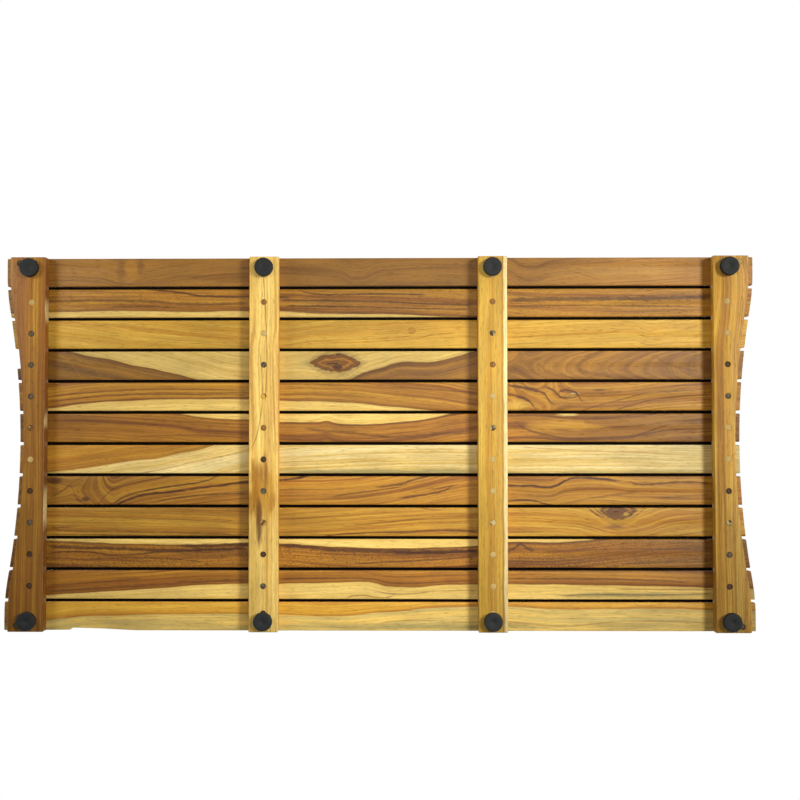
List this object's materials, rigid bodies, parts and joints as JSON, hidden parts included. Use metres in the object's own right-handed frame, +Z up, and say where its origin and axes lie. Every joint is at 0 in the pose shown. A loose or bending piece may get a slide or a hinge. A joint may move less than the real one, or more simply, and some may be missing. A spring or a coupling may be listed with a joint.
{
  "type": "slatted bath mat",
  "caption": "Rigid slatted teak bath mat with ogee-curved ends, screwed from below to cross battens on rubber feet.",
  "frame": {"origin": "middle of the mat on the surface that its feet stand on", "axes": "+X along the slats, the mat's length; +Y across the slats, the mat's width; +Z up through the deck"},
  "size_m": [1.005, 0.5, 0.0366],
  "materials": {
    "slat_teak": "oiled teak, planed and sanded, with strong heartwood and sapwood grain",
    "batten_teak": "oiled teak, planed and sanded",
    "plug_teak": "end plugs of teak, pared flush, raw",
    "foot_rubber": "moulded matt black rubber",
    "screw_steel": "plain stainless steel"
  },
  "bodies": {
    "root": {"slat_01": "slat_teak", "slat_02": "slat_teak", "slat_03": "slat_teak", "slat_04": "slat_teak", "slat_05": "slat_teak", "slat_06": "slat_teak", "slat_07": "slat_teak", "slat_08": "slat_teak", "slat_09": "slat_teak", "slat_10": "slat_teak", "slat_11": "slat_teak", "slat_12": "slat_teak", "batten_left_end": "batten_teak", "batten_left_middle": "batten_teak", "batten_right_middle": "batten_teak", "batten_right_end": "batten_teak", "foot_left_end_front": "foot_rubber", "foot_left_end_rear": "foot_rubber", "foot_left_middle_front": "foot_rubber", "foot_left_middle_rear": "foot_rubber", "foot_right_middle_front": "foot_rubber", "foot_right_middle_rear": "foot_rubber", "foot_right_end_front": "foot_rubber", "foot_right_end_rear": "foot_rubber", "screw_slat_01_left_end": "screw_steel", "screw_slat_01_left_middle": "screw_steel", "screw_slat_01_right_end": "screw_steel", "screw_slat_02_left_end": "screw_steel", "screw_slat_02_right_middle": "screw_steel", "screw_slat_02_right_end": "screw_steel", "screw_slat_03_left_middle": "screw_steel", "screw_slat_03_right_middle": "screw_steel", "screw_slat_03_right_end": "screw_steel", "screw_slat_04_left_end": "screw_steel", "screw_slat_04_left_middle": "screw_steel", "screw_slat_04_right_middle": "screw_steel", "screw_slat_05_left_end": "screw_steel", "screw_slat_05_left_middle": "screw_steel", "screw_slat_05_right_end": "screw_steel", "screw_slat_06_left_end": "screw_steel", "screw_slat_06_right_middle": "screw_steel", "screw_slat_06_right_end": "screw_steel", "screw_slat_07_left_middle": "screw_steel", "screw_slat_07_right_middle": "screw_steel", "screw_slat_07_right_end": "screw_steel", "screw_slat_08_left_end": "screw_steel", "screw_slat_08_left_middle": "screw_steel", "screw_slat_08_right_middle": "screw_steel", "screw_slat_09_left_end": "screw_steel", "screw_slat_09_left_middle": "screw_steel", "screw_slat_09_right_end": "screw_steel", "screw_slat_10_left_end": "screw_steel", "screw_slat_10_right_middle": "screw_steel", "screw_slat_10_right_end": "screw_steel", "screw_slat_11_left_middle": "screw_steel", "screw_slat_11_right_middle": "screw_steel", "screw_slat_11_right_end": "screw_steel", "screw_slat_12_left_end": "screw_steel", "screw_slat_12_left_middle": "screw_steel", "screw_slat_12_right_middle": "screw_steel"}
  },
  "joints": []
}
